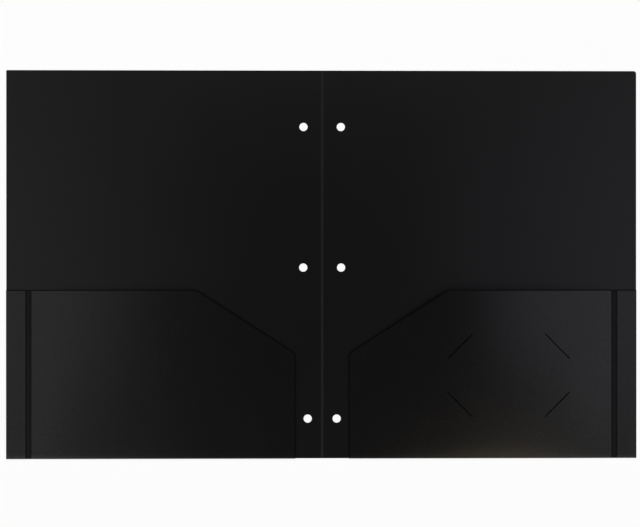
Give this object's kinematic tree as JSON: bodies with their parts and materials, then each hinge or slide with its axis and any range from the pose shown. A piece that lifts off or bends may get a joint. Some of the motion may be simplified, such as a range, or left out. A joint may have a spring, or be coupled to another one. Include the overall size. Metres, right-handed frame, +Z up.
{
  "type": "two-pocket folder",
  "caption": "Letter-size pocket folder of black plastic sheet, open flat, hinged at its spine crease, with a welded pocket on each cover and ring-binder holes.",
  "frame": {"origin": "on the spine crease, at mid height of the folder, in the plane of the outer faces that lie on the table", "axes": "+X from the spine to the outer edge of the right-hand cover, +Y from the bottom fold to the top edge, +Z up out of the inner faces"},
  "size_m": [0.4826, 0.2972, 0.0068],
  "materials": {
    "black_poly": "matte"
  },
  "bodies": {
    "back": {"back_cover": "black_poly"},
    "front": {"front_cover": "black_poly"}
  },
  "joints": [
    {"name": "cover_fold", "type": "hinge", "parent": "back", "child": "front", "pos_m": [0, 0, 0.00125], "axis": [0, 1, 0], "range_deg": [0, 175]}
  ]
}
